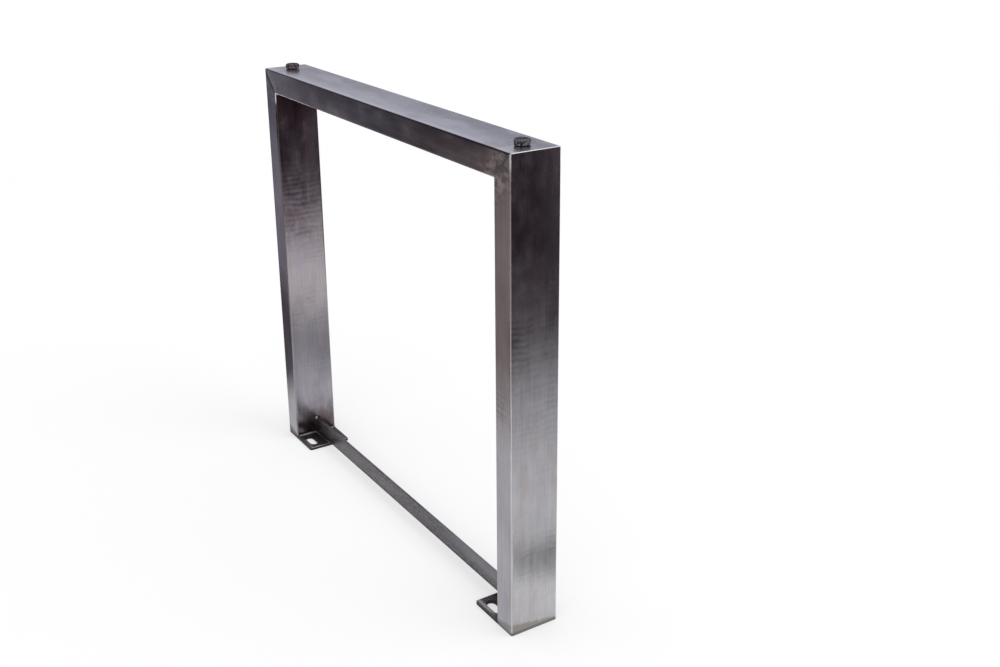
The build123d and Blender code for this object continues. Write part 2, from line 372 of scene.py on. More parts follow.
# Floor and light, in metres
FLOOR_HALF = 12.0
FLOOR_DROP = 0.0004
KEY_PLACE, KEY_AIM, KEY_SIZE = (1.0, 0.9, 2.2), (0.2, 0.0, 0.4), 1.3


def shade(name, description, default):
    """A colour that the user can set."""
    return FloatVectorProperty(
        name=name, description=description, default=default, subtype="COLOR", min=0.0, max=1.0
    )


def length(name, description, default):
    """A length in metres that the user can set."""
    return FloatProperty(
        name=name, description=description, default=default, min=0.0, unit="LENGTH", precision=5
    )


def amount(name, description, default, top=1.0):
    """A plain number from 0 upwards that the user can set."""
    return FloatProperty(name=name, description=description, default=default, min=0.0, max=top)


def head_angle(name, description, degrees):
    """An angle that the user can set."""
    return FloatProperty(
        name=name, description=description, default=math.radians(degrees), subtype="ANGLE"
    )


class TABLELEG_PG_brushing(bpy.types.PropertyGroup):
    """Brushed finish of the tubes, plates and flat bar."""

    steel: shade("Steel", "Colour of the brushed tube", (0.56, 0.55, 0.565))
    flat_steel: shade("Flat steel", "Colour of the flat bar and plates", (0.185, 0.175, 0.185))
    heat: shade("Heat tint", "Brown left by the welding heat", (0.115, 0.075, 0.068))
    roughness: amount("Roughness", "Gloss of the brushed tube", 0.27)
    grain_width: length("Grain width", "Width of the finest brush lines", 0.0007)
    grain_length: length("Grain length", "Length of the finest brush lines", 0.09)
    grain_depth: length("Grain depth", "Depth of the finest brush lines", 0.00001)
    stroke_width: length("Stroke width", "Width of a single belt stroke", 0.0018)
    stroke_length: length("Stroke length", "Length of a single belt stroke", 0.028)
    stroke_depth: length("Stroke depth", "Depth of a single belt stroke", 0.000006)
    streak_width: length("Streak width", "Width of the broad brush streaks", 0.005)
    streak_length: length("Streak length", "Length of the broad brush streaks", 0.28)
    wave_pitch: length("Wave pitch", "Distance between the broad waves across the tube", 0.020)
    wave_depth: length("Wave depth", "Depth of the broad waves across the tube", 0.00014)
    ripple_pitch: length("Ripple pitch", "Distance between the belt's cross ripples", 0.0095)
    ripple_depth: length("Ripple depth", "Depth of the belt's cross ripples", 0.000013)
    ground_band: length("Ground band", "Height of the cross-ground band at the plates", 0.0150)
    seam_width: length("Seam width", "Width of the mitre's seam line", 0.0030)
    heat_reach: length("Heat reach", "How far the welding heat coloured the steel", 0.078)


class TABLELEG_PG_welding(bpy.types.PropertyGroup):
    """Weld beads."""

    bead: shade("Bead", "Colour of the brushed weld metal", (0.42, 0.375, 0.36))
    plate_leg: length("Plate bead leg", "Leg of the bead between upright and plate", 0.003)
    ripple_pitch: length("Ripple pitch", "Distance between the bead's ripples", 0.0022)
    ripple_depth: length("Ripple depth", "Depth of the bead's ripples", 0.00022)
    crown: amount("Crown", "How far the bead bulges, as a part of its leg", 0.16)


class TABLELEG_PG_bolting(bpy.types.PropertyGroup):
    """Levelling bolts and their nuts."""

    black: shade("Black", "Colour of the blackened bolts", (0.036, 0.034, 0.041))
    # this colour is also used for the painted highlight round the bolt head's chamfer
    rubbed_and_glint: shade("Rubbed", "Bare steel where the black is rubbed off", (0.66, 0.64, 0.69))
    rusted: shade("Rusted", "Flecks that have begun to rust", (0.56, 0.38, 0.38))
    nut_steel: shade("Nut", "Colour of the plain nuts", (0.46, 0.45, 0.44))
    head_across_flats: length("Across flats", "Width of the bolt's head", 0.021)
    head_height: length("Head height", "Height of the bolt's head", 0.0075)
    washer_face_height: length("Washer face", "Height of the head's washer face", 0.0004)
    washer_face_inset: length("Washer inset", "Washer face inside the flats", 0.0007)
    thread_diameter: length("Thread", "Outer diameter of the thread", 0.014)
    thread_pitch: length("Pitch", "Pitch of the thread", 0.002)
    point_chamfer: length("Point chamfer", "Chamfer at the bolt's point", 0.0015)
    round_steps: IntProperty(
        name="Round steps", description="Steps round a turned surface", default=72, min=12
    )
    right_turn: head_angle("Right head turn", "Turn of the right head from a corner to +X", 20)
    left_turn: head_angle("Left head turn", "Turn of the left head from a corner to +X", 7)


class TABLELEG_PG_studio(bpy.types.PropertyGroup):
    """Floor, room and lights."""

    floor: shade("Floor", "Colour of the pale floor", (0.90, 0.90, 0.905))
    room_light: amount("Room light", "Even light of the room on the floor", 1.09, 5.0)
    pool: shade("Lit floor", "Lit floor under the leg, as steel mirrors it", (0.58, 0.575, 0.60))
    pool_heart: shade(
        "Floor at the outer side", "Brightest part of the lit floor", (0.82, 0.82, 0.83)
    )
    far_floor: shade("Far floor", "Dark floor beyond the lit part", (0.014, 0.006, 0.011))
    front_floor: shade("Front floor", "Dim floor in front of the leg", (0.25, 0.205, 0.20))
    pool_radius: length("Pool radius", "Radius of the lit part of the floor", 1.0)
    bright_wall: shade("Bright wall", "Lit walls that steel mirrors", (0.48, 0.48, 0.565))
    dark_wall: shade("Dark wall", "Unlit walls that steel mirrors", (0.030, 0.022, 0.028))
    ceiling: shade("Ceiling", "Ceiling that steel mirrors", (0.55, 0.55, 0.60))
    key_power: FloatProperty(
        name="Key light", description="Power of the large soft light", default=7.0, min=0.0,
        unit="POWER",
    )


class NodeDesk:
    """Adds shader nodes with short calls."""

    def __init__(self, tree):
        self.nodes = tree.nodes
        self.links = tree.links
        self.nodes.clear()

    def node(self, kind, inputs=None, **settings):
        """Adds a node, sets it up, and links or sets its inputs."""
        made = self.nodes.new(kind)
        for name, value in settings.items():
            setattr(made, name, value)
        for name, value in (inputs or {}).items():
            socket = made.inputs[name]
            if isinstance(value, bpy.types.NodeSocket):
                self.links.new(value, socket)
            elif socket.type == "RGBA":
                socket.default_value = (*value[:3], 1.0)
            else:
                socket.default_value = value
        return made

    def math(self, operation, *values):
        """One arithmetic step."""
        return self.node("ShaderNodeMath", dict(enumerate(values)), operation=operation).outputs[0]

    def smooth(self, value, low, high):
        """0 below low, 1 above high, and smooth between; falls if high is below low."""
        return self.node(
            "ShaderNodeMapRange",
            {"Value": value, "From Min": low, "From Max": high},
            interpolation_type="SMOOTHSTEP",
        ).outputs["Result"]

    def spread(self, value, low, high):
        """Maps 0 to 1 onto low to high."""
        return self.node(
            "ShaderNodeMapRange", {"Value": value, "To Min": low, "To Max": high}
        ).outputs["Result"]

    def mix(self, factor, first, second):
        """Mixes two colours."""
        return self.node(
            "ShaderNodeMix", {0: factor, 6: first, 7: second}, data_type="RGBA"
        ).outputs[2]

    def covered(self, colour, coat, mask):
        """A colour with a coat over it where the mask is 1."""
        if coat.strength < 1.0:
            mask = self.math("MULTIPLY", mask, coat.strength)
        return self.mix(mask, colour, coat.colour)

    def all_of(self, *masks):
        """Product of several masks."""
        result = masks[0]
        for mask in masks[1:]:
            result = self.math("MULTIPLY", result, mask)
        return result

    def inverse(self, mask):
        """1 where the mask is 0, and 0 where it is 1."""
        return self.math("SUBTRACT", 1.0, mask)

    def centred(self, pattern):
        """Noise moved so that it swings about 0."""
        return self.math("SUBTRACT", pattern, 0.5)

    def gap(self, value, centre=None):
        """How far a value is from a centre, or else from 0, on either side."""
        if centre is not None:
            value = self.math("SUBTRACT", value, centre)
        return self.math("ABSOLUTE", value)

    def away(self, *offsets):
        """Distance from a line, given as offsets across it."""
        total = self.math("MULTIPLY", offsets[0], offsets[0])
        for offset in offsets[1:]:
            total = self.math("MULTIPLY_ADD", offset, offset, total)
        return self.math("SQRT", total)


class Finish(NodeDesk):
    """Builds one material of the leg or the floor."""

    def __init__(self, name):
        self.material = bpy.data.materials.new(name)
        self.material.use_nodes = True
        super().__init__(self.material.node_tree)
        self.place = self.node("ShaderNodeTexCoord").outputs["Object"]
        split = self.node("ShaderNodeSeparateXYZ", {"Vector": self.place})
        self.x, self.y, self.z = split.outputs
        self.side_x = self.gap(self.x)
        facing = self.node("ShaderNodeNewGeometry").outputs["Normal"]
        facing = self.node(
            "ShaderNodeVectorMath", {0: facing}, operation="ABSOLUTE"
        ).outputs["Vector"]
        self.facing_x, self.facing_y, self.facing_z = self.node(
            "ShaderNodeSeparateXYZ", {"Vector": facing}
        ).outputs
        self.colour = None

    def grain(self, size, detail=2.0, rough=0.5):
        """Noise whose cells have the given size in metres along X, Y and Z."""
        scaled = self.node(
            "ShaderNodeVectorMath",
            {0: self.place, 1: [1.0 / s for s in size]},
            operation="MULTIPLY",
        ).outputs["Vector"]
        return self.node(
            "ShaderNodeTexNoise",
            {"Vector": scaled, "Scale": 1.0, "Detail": detail, "Roughness": rough},
        ).outputs["Fac"]

    def patches(self, grain, low, high):
        """Soft patches: noise that is cut off below low and full above high."""
        return self.smooth(self.grain(*grain), low, high)

    def offsets(self, place):
        """How far a point lies from a place, along X and along Y."""
        return self.math("SUBTRACT", self.x, place[0]), self.math("SUBTRACT", self.y, place[1])

    def left_half(self):
        """1 on the leg's left half, 0 on its right half."""
        return self.smooth(self.x, *LEFT_HALF_X)

    def edges(self):
        """1 on rounded edges, 0 on flat faces."""
        flat = self.math("MAXIMUM", self.facing_x, self.facing_y)
        flat = self.math("MAXIMUM", flat, self.facing_z)
        return self.smooth(flat, *FLAT_FACING)

    def heat_mask(self, reach, height=PLATE_TOP):
        """Mottled mask of the steel that the heat of an inner corner's weld coloured."""
        mottle = self.grain(*HEAT_MOTTLE)
        across = self.math("SUBTRACT", self.side_x, INNER_X)
        distance = self.away(across, self.math("SUBTRACT", self.z, height))
        distance = self.math("MULTIPLY_ADD", mottle, HEAT_SHIFT * reach, distance)
        return self.smooth(distance, *(share * reach for share in HEAT_FADE))

    def between(self, pattern, colour, dark, light):
        """Starts the finish between a darker and a lighter shade of a colour."""
        self.colour = self.mix(pattern, [dark * c for c in colour], [light * c for c in colour])

    def lay(self, coat, mask):
        """Lays a coat over the finish where the mask is 1."""
        self.colour = self.covered(self.colour, coat, mask)

    def bump(self, height, depth, below=None):
        """Raises the surface by height times depth in metres."""
        inputs = {"Height": height, "Strength": 1.0, "Distance": depth}
        if below is not None:
            inputs["Normal"] = below
        return self.node("ShaderNodeBump", inputs).outputs["Normal"]

    def surface(self, rough, bumped, more=None, **fixed):
        """Ends the material in one surface; what is the same all over it is fixed."""
        inputs = {"Base Color": self.colour, "Roughness": rough, "Normal": bumped}
        shader = self.node("ShaderNodeBsdfPrincipled", inputs | (more or {}))
        for name, value in fixed.items():
            shader.inputs[name.replace("_", " ").title()].default_value = value
        out = self.node("ShaderNodeOutputMaterial")
        self.links.new(shader.outputs[0], out.inputs["Surface"])
        return self.material


class TubeFinish(Finish):
    """Steel tube brushed along its length, ground at the mitres and the plates."""

    def __init__(self, name, run, look):
        super().__init__(name)
        self.run = run
        self.look = look
        self.left = self.left_half()
        self.right = self.inverse(self.left)
        self.narrow = self.smooth(self.facing_y, *NARROW_FACING)
        self.front_edge = self.smooth(self.y, *FRONT_EDGE_Y)
        self.mitre = self.mitre_distance()
        self.pattern = {
            "fine": self.brushed((look.grain_width, look.grain_length), 3.0, 0.6),
            "stroke": self.brushed((look.stroke_width, look.stroke_length), 3.0, 0.65),
            "streak": self.brushed((look.streak_width, look.streak_length), 3.0, 0.6),
            "cloud": self.brushed(*TUBE_CLOUD),
            "wave": self.brushed((WAVE_WIDTH, look.wave_pitch), 1.0),
        }

    def brushed(self, size, detail=2.0, rough=0.5):
        """Noise along the tube's run; its size is the width across and the length along it."""
        width, long = size
        return self.grain([long if axis == self.run else width for axis in "XYZ"], detail, rough)

    def mitre_distance(self):
        """Signed distance from the mitre: above 0 in the upright, below 0 in the rail."""
        gap = self.math("SUBTRACT", self.side_x, self.z)
        return self.math("MULTIPLY", self.math("ADD", gap, MITRE_SUM), ROOT_HALF)

    def belt_ripple(self):
        """Cross ripples of the belt, stronger in some places than in others."""
        position = self.x if self.run == "X" else self.z
        bend = self.math("MULTIPLY", self.grain(*RIPPLE_BEND), RIPPLE_BEND_PHASE)
        turns = 2 * math.pi / self.look.ripple_pitch
        ripple = self.math("SINE", self.math("MULTIPLY_ADD", position, turns, bend))
        swell = self.spread(self.patches(RIPPLE_SWELL, 0.35, 0.65), 0.30, 0.90)
        return self.all_of(ripple, swell, self.spread(self.left, 1.0, 0.9))

    def brush(self):
        """Starts the colour with the steel's tone, as the brushing left it."""
        tone = 1.0
        for name, share in TONE_SHARES.items():
            tone = self.math("MULTIPLY_ADD", self.centred(self.pattern[name]), share, tone)
        self.colour = self.node(
            "ShaderNodeVectorMath", {0: tuple(self.look.steel), "Scale": tone}, operation="SCALE"
        ).outputs["Vector"]

    def mark_rail_top(self):
        """Rail's floor side: darker at the back and far end, lighter in front and in wiped patches,
        scuffed, with a painted highlight at its front edge.
        """
        top = self.smooth(self.facing_z, *TOP_FACING)
        cloud = self.pattern["cloud"]
        beside_middle = self.smooth(self.gap(self.x, RAIL_MIDDLE_X), *RAIL_MIDDLE_REACH)
        far_end = self.smooth(self.x, *RAIL_FAR_END_X)
        back = self.smooth(self.y, *RAIL_BACK_Y)
        darkening = self.math("MAXIMUM", back, self.math("MULTIPLY", far_end, 0.55))
        darkening = self.all_of(
            top, darkening, self.spread(beside_middle, 0.62, 1.0), self.smooth(self.y, *RAIL_DARKENING_Y),
            self.spread(self.smooth(cloud, 0.62, 0.42), 0.60, 1.0),
        )
        self.lay(RAIL_DARKENING, darkening)
        wiped = self.patches(WIPED_PATCH, 0.46, 0.64)
        front = self.smooth(self.y, *RAIL_WIPED_Y)
        self.lay(RAIL_WIPED, self.all_of(top, self.math("MAXIMUM", wiped, front)))
        self.lay(RAIL_SMUDGE, self.all_of(top, self.patches(SMUDGE, 0.44, 0.62)))
        self.lay(RAIL_SCUFF, self.all_of(top, self.patches(SCUFF, 0.50, 0.66)))
        self.lay(RAIL_FRONT_GLINT, self.all_of(top, self.smooth(self.y, *RAIL_FRONT_GLINT_Y)))

    def mark_rail_sides(self):
        """Rail's narrow sides: light at the far end, painted shade in cloudy patches along the
        rest, strongest near the top.
        """
        light_end = self.smooth(self.x, *RAIL_LIGHT_END_X)
        self.lay(RAIL_LIGHT_END, self.all_of(self.narrow, light_end))
        cloud = self.smooth(self.pattern["cloud"], 0.75, 0.45)
        near_top = self.spread(self.smooth(self.z, *RAIL_SIDE_SHADE_Z), 0.50, 1.0)
        along = self.smooth(self.x, *RAIL_SIDE_SHADE_X)
        self.lay(RAIL_SIDE_SHADE, self.all_of(self.narrow, along, cloud, near_top))

    def mark_upright(self):
        """Upright's wide faces: warmer and cooler steel, and painted shade in blotches over the
        upper part.
        """
        blotch = self.patches(SHADE_BLOTCH, 0.36, 0.60)
        wide = self.smooth(self.facing_x, *WIDE_FACING)
        tint = self.mix(self.smooth(self.z, *UPRIGHT_WARM_Z), COOL_STEEL, WARM_STEEL)
        tinted = self.node(
            "ShaderNodeVectorMath", {0: self.colour, 1: tint}, operation="MULTIPLY"
        ).outputs["Vector"]
        self.lay(Coat(1.0, tinted), self.all_of(wide, self.left))
        upper = self.smooth(self.z, *(
            self.spread(self.left, right, left) for right, left in zip(RIGHT_SHADE_Z, LEFT_SHADE_Z)
        ))
        behind = self.smooth(self.y, *UPRIGHT_BACK_Y)
        scale_and_shade = self.all_of(
            wide, upper, self.spread(blotch, 0.35, 1.0), self.spread(behind, 1.0, 0.30)
        )
        self.lay(UPRIGHT_UPPER_SHADE, scale_and_shade)

    def tint_patches(self):
        """Broad warm and cool patches along the tube."""
        self.lay(WARM_PATCH, self.smooth(self.brushed(*WARM_BLOTCH), 0.50, 0.75))
        self.lay(COOL_PATCH, self.smooth(self.brushed(*COOL_BLOTCH), 0.50, 0.25))

    def heat_corners(self):
        """Brown of the welding heat at the plate, round the bar and under the mitre."""
        reach = self.look.heat_reach
        inner = self.smooth(self.side_x, *INNER_FACE_X)
        across = self.math("SUBTRACT", self.y, BAR_MIDDLE)
        from_bar = self.away(across, self.math("SUBTRACT", self.z, BAR_HEAT_Z))
        ragged = self.grain(*BAR_HEAT_RAG)
        from_bar = self.math("MULTIPLY_ADD", ragged, BAR_HEAT_SHIFT, from_bar)
        bar_heat = self.math("MULTIPLY", self.smooth(from_bar, *BAR_HEAT_REACH), BAR_HEAT_SHARE)
        foot_heat = self.all_of(self.math("MAXIMUM", self.heat_mask(reach), bar_heat), inner)
        self.lay(Coat(FOOT_HEAT_STRENGTH, tuple(self.look.heat)), foot_heat)
        mitre_heat = self.all_of(self.heat_mask(MITRE_HEAT_REACH * reach, RAIL_UNDER), inner)
        flat_on = self.smooth(self.facing_y, *FLAT_ON_FACING)
        flat_on = self.math("MULTIPLY_ADD", flat_on, -1.0, 1.0)
        mitre_heat = self.all_of(mitre_heat, self.math("MAXIMUM", flat_on, self.right))
        self.lay(MITRE_HEAT, mitre_heat)

    def grind_band(self):
        """Cross-ground band above the plate, with a ragged and slanting upper end."""
        ragged = self.centred(self.grain(*BAND_RAG))
        height = self.math("MULTIPLY_ADD", ragged, BAND_SHIFT, self.z)
        height = self.math("MULTIPLY_ADD", self.y, BAND_SLANT, height)
        inset = self.math("SUBTRACT", OUTER_X, self.side_x)
        height = self.math("MULTIPLY_ADD", inset, BAND_INSET_SLANT, height)
        band = self.smooth(height, self.look.ground_band, self.look.ground_band - BAND_FADE)
        band = self.all_of(band, self.smooth(self.side_x, *OUTSIDE_INNER_X))
        ground = self.mix(self.grain(*CROSS_GRINDING), BAND_DARK, BAND_LIGHT)
        ground = self.covered(ground, LEFT_BAND, self.left)
        self.lay(Coat(BAND_STRENGTH, ground), band)
        return band

    def grind_mitre(self):
        """Mottled ground patch on both sides of the mitre, its wandering seam line, and a painted
        highlight beside the seam.
        """
        width = self.look.seam_width
        wander = self.centred(self.grain(*SEAM_WANDER))
        wandered = self.math("MULTIPLY_ADD", wander, SEAM_SHIFT, self.mitre)
        seam = self.smooth(self.gap(wandered), width, SEAM_CORE * width)
        seam = self.all_of(seam, self.narrow, self.spread(self.left, 0.15, 0.95))
        # painted highlight beside the seam
        lip_glint = self.smooth(self.gap(wandered, LIP_PLACE * width), LIP_REACH * width, 0.0)
        self.lay(SEAM_LIP_GLINT, self.all_of(lip_glint, self.narrow, self.left))
        mottle = self.patches(MITRE_MOTTLE, 0.36, 0.64)
        patch = self.smooth(self.gap(self.mitre), *MITRE_PATCH_REACH)
        patch = self.all_of(patch, self.narrow, self.spread(self.left, 1.0, 0.35))
        ground = self.mix(mottle, MITRE_DARK, MITRE_LIGHT)
        self.lay(Coat(MITRE_STRENGTH, ground), patch)
        self.lay(SEAM_LINE, seam)
        return patch, seam

    def wear_edges(self, edge):
        """Edges toned by wear in places, light on the right half and darker on the left, with a
        painted white glint on them near the mitres.
        """
        wear = self.spread(self.brushed(*EDGE_WEAR), 0.15, 1.15)
        near_mitre = self.smooth(self.gap(self.mitre), *MITRE_GLINT_REACH)
        wear = self.math("MINIMUM", self.math("ADD", wear, near_mitre), 1.0)
        worn_and_glint = self.mix(self.left, RIGHT_WORN, LEFT_WORN)
        worn_and_glint = self.mix(near_mitre, worn_and_glint, MITRE_GLINT)
        self.lay(Coat(1.0, worn_and_glint), self.all_of(edge, wear))

    def rail_turns(self, edge):
        """Paints a dark reflection along the rail's long edge; masks of its edges at the outer and
        inner turns, where glints are painted.
        """
        near_top = self.smooth(self.z, *RAIL_EDGE_SHADE_Z)
        long_edge = self.all_of(edge, self.smooth(self.facing_x, *EDGE_SHADE_FACING), near_top)
        self.lay(RAIL_EDGE_SHADE, self.all_of(long_edge, self.spread(self.front_edge, 0.35, 0.95)))
        outer = self.smooth(self.facing_x, *RAIL_TURN_FACING)
        near_under = self.smooth(self.z, *RAIL_GLINT_Z)
        return outer, self.all_of(self.smooth(self.x, *RAIL_GLINT_X), near_under)

    def upright_turns(self):
        """Masks of the upright's edges at the outer and inner turns, where glints are painted."""
        outer = self.spread(self.smooth(self.facing_z, *UPRIGHT_TURN_FACING), 0.65, 1.0)
        near_inner = self.smooth(self.side_x, *UPRIGHT_GLINT_X)
        near_under = self.smooth(self.z, *UPRIGHT_GLINT_Z)
        return outer, self.all_of(near_inner, self.spread(near_under, 0.0, 0.7))

    def glint_edges(self, edge):
        """Painted glints on the edges, pale and less metallic: outer corner and long front edge
        right, inner corner left.
        """
        outer, inner = self.rail_turns(edge) if self.run == "X" else self.upright_turns()
        corner_sum = self.math("ADD", self.side_x, self.z)
        outer = self.all_of(outer, self.smooth(corner_sum, *OUTER_CORNER_SUM), self.right)
        inner = self.all_of(inner, self.front_edge, self.left)
        # painted highlight in a thin line down the vertical front edges on the right half
        rubbed_and_glint = self.all_of(
            self.front_edge, self.smooth(self.facing_z, *EDGE_LINE_GLINT_FACING), self.right,
            self.spread(self.smooth(self.z, *EDGE_LINE_GLINT_Z), 0.18, 0.42),
        )
        turn = self.math("MAXIMUM", self.math("MAXIMUM", outer, inner), rubbed_and_glint)
        bare_and_glint = self.math("MULTIPLY", edge, turn)
        self.lay(Coat(1.0, self.mix(self.left, RIGHT_GLINT, LEFT_GLINT)), bare_and_glint)
        return bare_and_glint

    def gloss(self, band, patch, edge):
        """Roughness of the tube, changed a little by each kind of mark."""
        middle = self.look.roughness
        rough = self.spread(
            self.pattern["streak"], middle - STREAK_ROUGHNESS, middle + STREAK_ROUGHNESS
        )
        masks = {"cloud": self.centred(self.pattern["cloud"]), "narrow": self.narrow}
        if self.run == "Z":
            masks["left"] = self.left
        masks |= {"band": band, "mitre": patch, "edge": edge}
        for name, mask in masks.items():
            rough = self.math("MULTIPLY_ADD", mask, ROUGHNESS_CHANGES[name], rough)
        return rough

    def relief(self, seam):
        """Depth of the brush lines, strokes, ripples, waves, clouds and the seam."""
        look = self.look
        bumped = self.bump(self.pattern["fine"], look.grain_depth)
        for height, depth in (
            (self.pattern["stroke"], look.stroke_depth),
            (self.belt_ripple(), look.ripple_depth),
            (self.pattern["wave"], look.wave_depth),
            (self.pattern["cloud"], CLOUD_DEPTH),
            (self.math("MULTIPLY", seam, -1.0), SEAM_DEPTH),
        ):
            bumped = self.bump(height, depth, bumped)
        return bumped

    def build(self):
        """Lays the marks in the order in which the leg got them, with the painted shade and glints
        among them.
        """
        self.brush()
        if self.run == "X":
            self.mark_rail_top()
            self.mark_rail_sides()
        else:
            self.mark_upright()
        self.tint_patches()
        self.heat_corners()
        band = self.grind_band()
        patch, seam = self.grind_mitre()
        edge = self.edges()
        self.wear_edges(edge)
        # painted glints on the edges
        bare_and_glint = self.glint_edges(edge)
        run = dict(enumerate(1.0 if axis == self.run else 0.0 for axis in "XYZ"))
        more = {
            "Metallic": self.math("MULTIPLY_ADD", bare_and_glint, GLINT_METALLIC_CHANGE, 1.0),
            "Tangent": self.node("ShaderNodeCombineXYZ", run).outputs[0],
        }
        return self.surface(
            self.gloss(band, patch, edge), self.relief(seam), more,
            anisotropic=TUBE_ANISOTROPY, anisotropic_rotation=TUBE_ANISOTROPY_TURN,
        )


def plate_finish(name, look):
    """Flat plate: ground, mottled, and browned by the welding; painted shade on its sides and slot
    edges, and a light rim, partly wear and partly a painted highlight.
    """
    f = Finish(name)
    scale_and_shade = f.grain(*PLATE_SCALE)
    scratch = f.grain(*PLATE_SCRATCHES)
    f.between(scale_and_shade, look.flat_steel, *PLATE_SHADES)
    f.lay(PLATE_SCRATCH, f.smooth(scratch, 0.50, 0.72))
    f.lay(PLATE_HEAT, f.heat_mask(PLATE_HEAT_REACH * look.heat_reach))
    f.lay(PLATE_SIDE_SHADE, f.smooth(f.facing_z, *PLATE_SIDE_FACING))

    end = f.smooth(f.side_x, *PLATE_END_X)
    end = f.all_of(end, f.smooth(f.facing_z, *PLATE_END_FACING))
    ground = f.mix(f.grain(*CROSS_GRINDING), PLATE_END_DARK, PLATE_END_LIGHT)
    ground = f.covered(ground, LEFT_PLATE_END, f.left_half())
    f.lay(Coat(PLATE_END_STRENGTH, ground), end)

    broken = f.smooth(f.gap(f.facing_z, ROOT_HALF), *BROKEN_EDGE_FACING)
    rim = f.smooth(f.gap(f.y), *PLATE_RIM_Y)
    rim = f.math("MAXIMUM", rim, f.smooth(f.side_x, *PLATE_RIM_X))
    wear = f.spread(f.grain(*RIM_WEAR), 0.1, 1.0)
    f.lay(PLATE_RIM_WEAR_AND_GLINT, f.all_of(broken, wear, rim))
    f.lay(SLOT_EDGE_SHADE, f.all_of(broken, f.inverse(rim)))
    level = f.smooth(f.facing_z, *PLATE_LEVEL_FACING)
    strip = f.smooth(f.gap(f.y, PLATE_STRIP_Y), *PLATE_STRIP_WIDTH)
    strip = f.all_of(strip, level, f.smooth(f.side_x, *PLATE_STRIP_X))
    f.lay(PLATE_STRIP, strip)
    bumped = f.bump(scratch, PLATE_SCRATCH_DEPTH)
    bumped = f.bump(scale_and_shade, PLATE_SCALE_DEPTH, bumped)
    return f.surface(f.spread(scale_and_shade, *PLATE_ROUGHNESS), bumped, metallic=1.0)


def bar_finish(name, look):
    """Flat bar: mid grey mill finish, brushed along, browned at both ends; painted light on its
    upper right end, painted shade at its foot and top face, painted highlights on its edges.
    """
    f = Finish(name)
    fine = f.grain(*BAR_BRUSHING)
    cloud = f.grain(*BAR_CLOUD)
    f.between(cloud, look.flat_steel, *BAR_SHADES)
    f.lay(BAR_BRUSHED, f.smooth(fine, 0.45, 0.75))
    end_heat = f.heat_mask(BAR_END_HEAT_REACH * look.heat_reach)
    f.lay(Coat(BAR_HEAT_STRENGTH, tuple(look.heat)), end_heat)
    speckle = f.grain(*BAR_SPECKLE)
    f.lay(BAR_LIGHT_SPECK, f.smooth(speckle, 0.52, 0.66))
    f.lay(BAR_DARK_SPECK, f.smooth(speckle, 0.46, 0.32))
    right_end = f.smooth(f.x, *BAR_RIGHT_END_X)
    f.lay(BAR_UPPER_LIGHT, f.all_of(right_end, f.smooth(f.z, *BAR_UPPER_Z)))
    f.lay(BAR_FOOT_SHADE, f.smooth(f.z, *BAR_FOOT_Z))
    f.lay(BAR_TOP_SHADE, f.smooth(f.facing_z, *BAR_TOP_FACING))
    f.lay(BAR_EDGE_GLINT, f.edges())
    bumped = f.bump(fine, BAR_BRUSH_DEPTH)
    bumped = f.bump(cloud, BAR_CLOUD_DEPTH, bumped)
    return f.surface(f.spread(cloud, *BAR_ROUGHNESS), bumped, metallic=1.0)


def bead_finish(name, weld):
    """Weld metal: wire-brushed, brown and straw coloured by its own heat, with painted highlights
    at the bead's tip by the bar's top and over the mitre beads.
    """
    f = Finish(name)
    mottle = f.grain(*BEAD_MOTTLE)
    f.between(mottle, weld.bead, *BEAD_SHADES)
    f.lay(BEAD_STRAW, f.patches(STRAW_PATCH, 0.48, 0.68))
    at_foot = f.smooth(f.z, *FOOT_BEADS_Z)
    f.lay(BEAD_BURNT, f.all_of(f.smooth(f.z, *BEAD_BURNT_Z), at_foot))
    tip = f.all_of(f.smooth(f.z, *BEAD_TIP_Z), at_foot, f.smooth(f.y, *BEAD_TIP_Y))
    f.lay(BEAD_TIP_GLINT, tip)
    f.lay(MITRE_BEAD_GLINT, f.smooth(f.z, *MITRE_BEADS_Z))
    return f.surface(
        f.spread(mottle, *BEAD_ROUGHNESS), f.bump(mottle, BEAD_MOTTLE_DEPTH), metallic=1.0
    )


def black_finish(name, bolts):
    """Blackened bolt, lighter where the black has come off in specks, with a painted highlight
    round the chamfer of its head.
    """
    f = Finish(name)
    speck = f.grain(*BLACK_SPECK)
    rust = f.all_of(f.patches(RUST_PATCH, 0.42, 0.60), f.left_half())
    f.between(speck, bolts.black, *BLACK_SHADES)
    from_axis = f.away(f.math("SUBTRACT", f.side_x, BOLT_X), f.y)
    rim_radius = bolts.head_across_flats / 2 - bolts.washer_face_inset
    # painted highlight in a ring round the head's chamfer
    ring = f.smooth(f.gap(from_axis, rim_radius), *HEAD_RIM_WIDTH)
    ring = f.all_of(ring, f.smooth(f.z, *HEAD_RIM_Z))
    rubbed_and_glint = f.patches(RUBBED_FLECK, 0.46, 0.55)
    flecks_and_rim_glint = f.math("MAXIMUM", rubbed_and_glint, f.math("MULTIPLY", ring, 0.8))
    flecks_and_rim_glint = f.all_of(flecks_and_rim_glint, f.spread(f.smooth(f.facing_z, *HEAD_TOP_FACING), 1.0, 0.50))
    bare_and_glint = f.mix(rust, tuple(bolts.rubbed_and_glint), tuple(bolts.rusted))
    f.lay(Coat(FLECK_STRENGTH, bare_and_glint), flecks_and_rim_glint)
    return f.surface(
        f.spread(speck, *BLACK_ROUGHNESS), f.bump(speck, BLACK_SPECK_DEPTH),
        metallic=BLACK_METALLIC, specular_tint=BLACK_SHEEN,
    )


def nut_finish(name, bolts):
    """Plain turned steel of the hidden nuts."""
    f = Finish(name)
    turned = f.grain(*NUT_TURNING)
    f.between(turned, bolts.nut_steel, *NUT_SHADES)
    return f.surface(
        f.spread(turned, *NUT_ROUGHNESS), f.bump(turned, NUT_TURNING_DEPTH), metallic=1.0
    )


